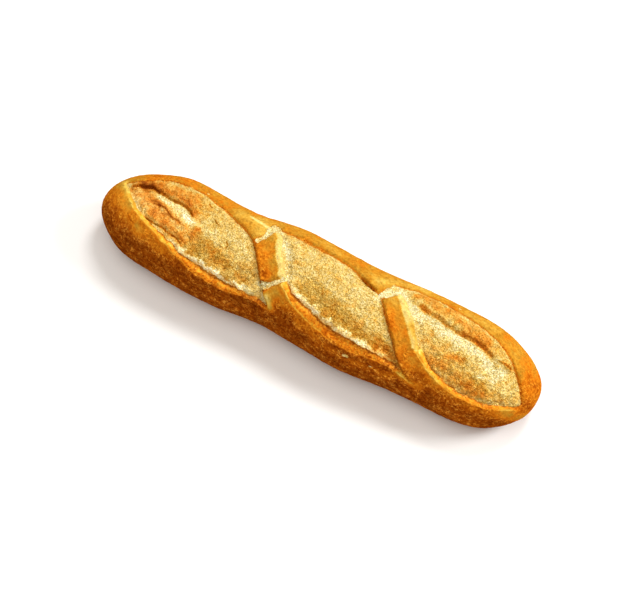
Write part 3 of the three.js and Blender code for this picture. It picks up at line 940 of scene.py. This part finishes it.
class Finish:
    """A material under construction."""

    def __init__(self, name):
        self.material = bpy.data.materials.new(name)
        self.material.use_nodes = True
        self.tree = self.material.node_tree
        self.tree.nodes.clear()

    def node(self, kind, settings=None, inputs=None, output=0):
        """Adds a node: its settings first, then the values or links of its sockets."""
        made = self.tree.nodes.new(kind)
        for name, value in (settings or {}).items():
            setattr(made, name, value)
        for name, value in (inputs or {}).items():
            if isinstance(value, Field):
                self.tree.links.new(value.socket, made.inputs[name])
            else:
                made.inputs[name].default_value = value
        return Field(self, made.outputs[output]) if made.outputs else None

    def painted(self, name):
        return self.node("ShaderNodeAttribute", {"attribute_name": name}, output="Fac")

    def noise(self, places, size, detail=2.0, roughness=0.5, distortion=0.0):
        """Noise centred on nought whose bumps are about `size` millimetres across."""
        values = {"Vector": places, "Scale": 1 / (size * MM), "Detail": detail}
        values |= {"Roughness": roughness, "Distortion": distortion}
        return self.node("ShaderNodeTexNoise", {}, values, output="Fac") - 0.5

    def veins(self, places, size, width, distortion):
        """Thin curly lines, where a noise crosses its middle."""
        return self.line(self.noise(places, size, distortion=distortion), width)

    def folds(self, places, size, distortion):
        """Rounded ridges, 1 on their tops and 0 between them."""
        level = self.noise(places, size, detail=1, distortion=distortion)
        return (1 - FOLD_SHARPNESS * abs(level)).at_least(0)

    def line(self, distance, width):
        """A line of that width, 1 in its middle, where a distance is nought."""
        return 1 - self.step(0, width, abs(distance))

    def patches(self, places, size):
        return self.step(*PATCH_EDGE, self.noise(places, size, detail=1))

    def step(self, start, end, value):
        ends = {"Value": value, "From Min": start, "From Max": end}
        return self.node("ShaderNodeMapRange", {"interpolation_type": "SMOOTHSTEP"}, ends)

    def ramp(self, value, stops):
        """Colours blended between stops: a chain of mixes, one for each pair of neighbours."""
        colour = (*stops[0][1], 1)
        for (start, _), (end, next_colour) in zip(stops[:-1], stops[1:]):
            ends = {"Value": value, "From Min": start, "From Max": end}
            share = self.node("ShaderNodeMapRange", {}, ends)
            colour = self.mix(share, colour, (*next_colour, 1))
        return colour

    def mix(self, share, first, second, kind="MIX"):
        settings = {"data_type": "RGBA", "blend_type": kind}
        return self.node("ShaderNodeMix", settings, {0: share, 6: first, 7: second}, output=2)

    def surface(self, piece, inputs):
        """Ends the material with a Principled shader and gives it to a piece."""
        shader = self.node("ShaderNodeBsdfPrincipled", {}, inputs)
        self.node("ShaderNodeOutputMaterial", {}, {"Surface": shader})
        piece.data.materials.clear()
        piece.data.materials.append(self.material)


bread = Finish("bread")
on_loaf = bread.node("ShaderNodeTexCoord", output="Object")
print("started the finish", bread.material.name)

# %% [markdown]
# An edge has a painted highlight on the crest of its lip, a red-brown inner face, painted shade in the
# crevice at its foot, a ridge of crumb made lighter with painted light, and a valley behind it made
# darker with painted shade; the far edges get a thin line of painted shade. The shader draws these
# bands from the painted distances, which keeps them crisper than painted colours, and noise makes them
# ragged.

# %% Bands along the edges, in millimetres
EDGE_NOISE = 0.9  # how far fine noise moves the edge of a band
BAY_NOISE = 2  # how far coarser noise moves it at the high lips
CREST_NOISE, SEAM_NOISE, RIDGE_NOISE, RIDGE_BAYS = 0.7, 0.5, 2.5, 9
CRUMB_STEP = 0.2
HIGH_LIP = (1, 1.5)  # lip heights over which a band comes in
CREST_LIP, RIDGE_LIP, VALLEY_LIP, FACE_LIP = (0.5, 1), (1.35, 1.75), (1.3, 1.7), (0.8, 1.2)
CREST_WIDTH, CREVICE_WIDTH, FAR_LINE_WIDTH = 0.7, 0.9, 0.7
CREVICE_GAPS = (-0.15, 0)
RIDGE_START, RIDGE_END = (0.3, 0.8), (2.6, 4.4)  # how far in from the crumb's edge
VALLEY_START, VALLEY_END = (3.4, 4.8), (6, 14)
FACE_START = (0.2, 0.7)
SEAM_EDGE = (0.2, 1.4)

step = bread.step
lip_here, rim_here = bread.painted("near_lip"), bread.painted("rim")
ragged = EDGE_NOISE * bread.noise(on_loaf, 1.2)
high_lip = step(*HIGH_LIP, lip_here)
edge_here = bread.painted("crumb") + ragged + BAY_NOISE * high_lip * bread.noise(on_loaf, 4, 1)
is_crumb = step(-CRUMB_STEP, CRUMB_STEP, edge_here)
# painted highlight along the crest of a lip
crest_highlight = step(*CREST_LIP, lip_here) * bread.line(rim_here + CREST_NOISE * ragged, CREST_WIDTH)
# painted shade in the crevice at the foot of a high lip, also redder
shaded_crevice = high_lip * bread.line(edge_here, CREVICE_WIDTH)
shaded_crevice = shaded_crevice * step(*CREVICE_GAPS, bread.noise(on_loaf, 6, 1))
beyond = edge_here + RIDGE_NOISE * ragged + RIDGE_BAYS * bread.noise(on_loaf, 5)
# a crumb ridge made lighter with painted light
ridge = step(*RIDGE_LIP, lip_here) * step(*RIDGE_START, edge_here) * (1 - step(*RIDGE_END, beyond))
# a valley behind the ridge made darker with painted shade
shaded_valley = step(*VALLEY_LIP, lip_here) * step(*VALLEY_START, beyond) * (1 - step(*VALLEY_END, edge_here))
# a thin line of painted shade along the far edges, also redder
far_line_shade = bread.painted("far_lip") * bread.line(edge_here, FAR_LINE_WIDTH)
inner_face = step(*FACE_LIP, lip_here) * step(*FACE_START, rim_here)
# painted shade along the seams, which also makes the crumb there more golden
seam_shade_here = 1 - step(*SEAM_EDGE, bread.painted("seam") + SEAM_NOISE * ragged)
print("the bands take", len(bread.tree.nodes), "nodes")

# %% [markdown]
# Crust goes from pale gold through orange to a deep red-brown as it bakes, and crumb from cream to
# gold. The painted numbers give the large regions, and noise and the bands the small ones.

# %% Colours of crust and crumb
CRUST_STOPS = [
    (0.0, (0.66, 0.48, 0.14)),
    (0.2, (0.58, 0.34, 0.048)),
    (0.4, (0.47, 0.205, 0.015)),
    (0.55, (0.53, 0.150, 0.006)),
    (0.75, (0.36, 0.084, 0.004)),
    (0.9, (0.245, 0.052, 0.0025)),
    (1.15, (0.12, 0.022, 0.001)),
]
CRUMB_STOPS = [
    (0.0, (0.80, 0.66, 0.30)),
    (0.2, (0.775, 0.57, 0.195)),
    (0.4, (0.735, 0.495, 0.128)),
    (0.6, (0.69, 0.37, 0.062)),
    (0.8, (0.66, 0.26, 0.028)),
    (1.0, (0.56, 0.165, 0.012)),
    (1.3, (0.24, 0.05, 0.004)),
]
FACE_FOOT = (-2.6, -0.3)  # how far in from the crumb's edge the foot of a face is browner
FOOT_TONE, FACE_MOTTLE = 0.06, 0.7


def add_weighted(field, weights):
    for weight, other in weights:
        field = field + weight * other
    return field


patchy = bread.noise(on_loaf, 9, 3, 0.6)
bake_here = add_weighted(
    bread.painted("bake"), [(0.55, patchy), (0.2, shaded_crevice), (0.2, far_line_shade), (-0.1, crest_highlight)]
)
face_tone = FOOT_TONE * step(*FACE_FOOT, edge_here) + FACE_MOTTLE * bread.noise(on_loaf, 1.8, 1)
bake_here = bake_here + inner_face * face_tone
tone = bread.noise(on_loaf, 5, 3, 0.6)  # yellower and creamier flecks of nearly one brightness
gold_here = add_weighted(
    bread.painted("gold"),
    [(1.3, tone), (0.6, shaded_crevice), (0.08, ridge), (0.4, far_line_shade), (0.08, shaded_valley), (0.3, seam_shade_here)],
)
colour = bread.mix(is_crumb, bread.ramp(bake_here, CRUST_STOPS), bread.ramp(gold_here, CRUMB_STOPS))
print("two ramps blend", len(CRUST_STOPS) + len(CRUMB_STOPS), "colours")

# %% [markdown]
# Browned crust has split into a net of fine lines with dark specks between them. Golden crust is calm,
# so the crackle comes in with the browning. The inner faces get painted light, as if lit from the crumb
# beside them.

# %% Shade of the crust
CRACKLE = [(3.4, 0.07, 5), (2.0, 0.09, 3)]  # size of the curls, half-width, size of the patches
CRACKLE_CURL = 1.2
BROWNED = (0.4, 0.8)
CRACKLE_LIGHT, SPECKS, SPECK_SIZE, MOTTLE_LEVEL = 1.15, 1.3, 1.3, -0.21
# painted light on the inner faces, a painted highlight on the crests, painted shade on the far lines
FACE_LIGHT, CREST_LIGHT, CRUST_GRAIN, FAR_LINE_SHADE = 0.55, 0.35, 0.6, 0.05
FACE_LIGHT_EDGE = (-2.6, -1)


def net(layers, curl):
    """A net of fine curly lines that comes and goes in patches."""
    return sum(
        bread.veins(on_loaf, size, width, curl) * bread.patches(on_loaf, patch)
        for size, width, patch in layers
    )


crackle = net(CRACKLE, CRACKLE_CURL)
specks = bread.noise(on_loaf, SPECK_SIZE, 2, 0.7)
mottle = CRACKLE_LIGHT * crackle + SPECKS * specks + MOTTLE_LEVEL
shade = bread.painted("shade") - FAR_LINE_SHADE * far_line_shade + bread.painted("seam_shade") * seam_shade_here
# painted light on the inner faces of the lips
face_light = FACE_LIGHT * inner_face * step(*FACE_LIGHT_EDGE, edge_here)
shade = shade + face_light * (1 - is_crumb)
crust_shade = add_weighted(
    shade + step(*BROWNED, bake_here) * mottle,
    [(CRUST_GRAIN, bread.noise(on_loaf, SPECK_SIZE, 1)), (CREST_LIGHT, crest_highlight)],
)
print(len(bread.tree.nodes), "nodes with the crust's shade")

# %% [markdown]
# Folds in two sizes give the crumb's torn flakes, with their tops painted lighter as painted light,
# fine noise its grit, and short dark hairs of painted shade the gaps. Very light and very dark grit
# would sparkle, so the sum is flatter beyond two levels.

# %% Shade of the crumb
FLAKES = [(0.5, 3, 1.2), (0.5, 1.7, 0.8)]  # weight, size, curl
FLAKE_LEVEL = 0.22
HAIRS = [(5, 0.035, 6), (2.6, 0.05, 4)]
HAIR_CURL = 1.5
FLAKE_LIGHT, GRIT, GRIT_SIZE, HAIR_DARK = 0.4, 1.6, 0.9, 0.35
SOFTENED = 0.3  # slope beyond the two levels
LIGHT_LEVEL, DARK_LEVEL = 0.09, -0.12

flakes = sum(weight * bread.folds(on_loaf, size, curl) for weight, size, curl in FLAKES)
hairs = net(HAIRS, HAIR_CURL)
crumbs = FLAKE_LIGHT * (flakes - FLAKE_LEVEL) + GRIT * bread.noise(on_loaf, GRIT_SIZE, 1)
crumbs = crumbs - HAIR_DARK * hairs
flatter = SOFTENED * crumbs
crumbs = crumbs.at_most(flatter + LIGHT_LEVEL).at_least(flatter + DARK_LEVEL)
# the ridge gets painted light and the valley painted shade
crumb_shade = add_weighted(shade + crumbs, [(0.25, tone), (0.5, ridge), (-0.17, shaded_valley)])
print(len(bread.tree.nodes), "nodes with the crumb's shade")

# %% [markdown]
# What is shaded in bread is also lit through it, so it turns redder as it darkens. Scattering would
# blur the bands. Instead the shade multiplies red, and a power of it darkens green and blue faster.

# %% The bread's surface
DARKEST = 0.05
GREEN_POWER, BLUE_POWER = 1.6, 2.6
CRUMB_GREEN, CRUMB_BLUE = -0.1, 0.5  # what crumb adds to the two powers
CRUST_BUMP, CRACKLE_BUMP, FLAKE_BUMP, CRUMB_BUMP = 0.35, 0.15, 0.6, 0.3
BUMP_HEIGHT = 1.5 * MM
ROUGHNESS = 0.75

shade = (crust_shade + (crumb_shade - crust_shade) * is_crumb).at_least(DARKEST)
green = shade ** (GREEN_POWER + CRUMB_GREEN * is_crumb)
blue = shade ** (BLUE_POWER + CRUMB_BLUE * is_crumb)
shades = bread.node("ShaderNodeCombineColor", {}, {0: shade, 1: green, 2: blue})
colour = bread.mix(1.0, colour, shades, "MULTIPLY")
crust_height = CRUST_BUMP * bread.noise(on_loaf, 1.8, 1) + CRACKLE_BUMP * crackle
crumb_height = FLAKE_BUMP * flakes + CRUMB_BUMP * bread.noise(on_loaf, 1, 1)
height = crust_height + (crumb_height - crust_height) * is_crumb
bump = bread.node(
    "ShaderNodeBump", {}, {"Height": height, "Distance": BUMP_HEIGHT, "Strength": 1.0}, output="Normal"
)
matt = {"Roughness": ROUGHNESS, "Specular IOR Level": 0.0}
bread.surface(loaf, {"Base Color": colour, "Normal": bump, **matt})

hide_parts("loaf")
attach(loaf, "root")
print("the bread has", len(bread.tree.nodes), "nodes")

# %% [markdown]
# The loaf lies on plain white, which also throws light back at its sides. A plane is enough, and it
# belongs to the stage.

# %% Floor
FLOOR_WHITE = 0.85
FLOOR_SIZE = 6

bpy.ops.mesh.primitive_plane_add(size=FLOOR_SIZE)
floor = bpy.context.object
floor.name = "table"
paper = Finish("table")
white = (FLOOR_WHITE,) * 3 + (1,)
paper.surface(floor, {"Base Color": white, "Roughness": 1, "Specular IOR Level": 0})
print("the table is", FLOOR_SIZE, "m across")

# %% [markdown]
# The shadows are soft and lie to the left and towards the viewer, so two softboxes stand on the right
# and behind, one hangs overhead, and a plain sky fills in the rest. A sun lamp's shadows would be hard.

# %% Lights
SKY = 0.575
SKY_COLOUR = (1, 0.91, 0.8, 1)
SOFTBOXES = [
    # bearing and height of the light in degrees, distance, size, and the share of a white that it adds
    ("overhead softbox", 270, 80, 2.0, 2.0, 0.38),
    ("right softbox", 32, 38, 1.6, 0.55, 0.42),
    ("far softbox", 84, 57, 1.6, 0.5, 0.42),
]
world = bpy.data.worlds.new("sky")
bpy.context.scene.world = world
world.use_nodes = True
background = world.node_tree.nodes["Background"]
background.inputs["Color"].default_value = SKY_COLOUR
background.inputs["Strength"].default_value = SKY
for name, bearing, height, distance, size, share in SOFTBOXES:
    softbox = bpy.data.objects.new(name, bpy.data.lights.new(name, "AREA"))
    bpy.context.scene.collection.objects.link(softbox)
    softbox.data.shape = "DISK"
    softbox.data.size = size
    bearing, height = math.radians(bearing), math.radians(height)
    softbox.data.energy = share * math.pi**2 * distance**2 / math.sin(height)
    softbox.location = (
        distance * math.cos(bearing) * math.cos(height),
        distance * math.sin(bearing) * math.cos(height),
        distance * math.sin(height),
    )
    softbox.rotation_euler = (math.pi / 2 - height, 0, bearing + math.pi / 2)
    print(name, "gives", round(softbox.data.energy, 1), "W")
bpy.context.scene.view_settings.view_transform = "Standard"

# %% [markdown]
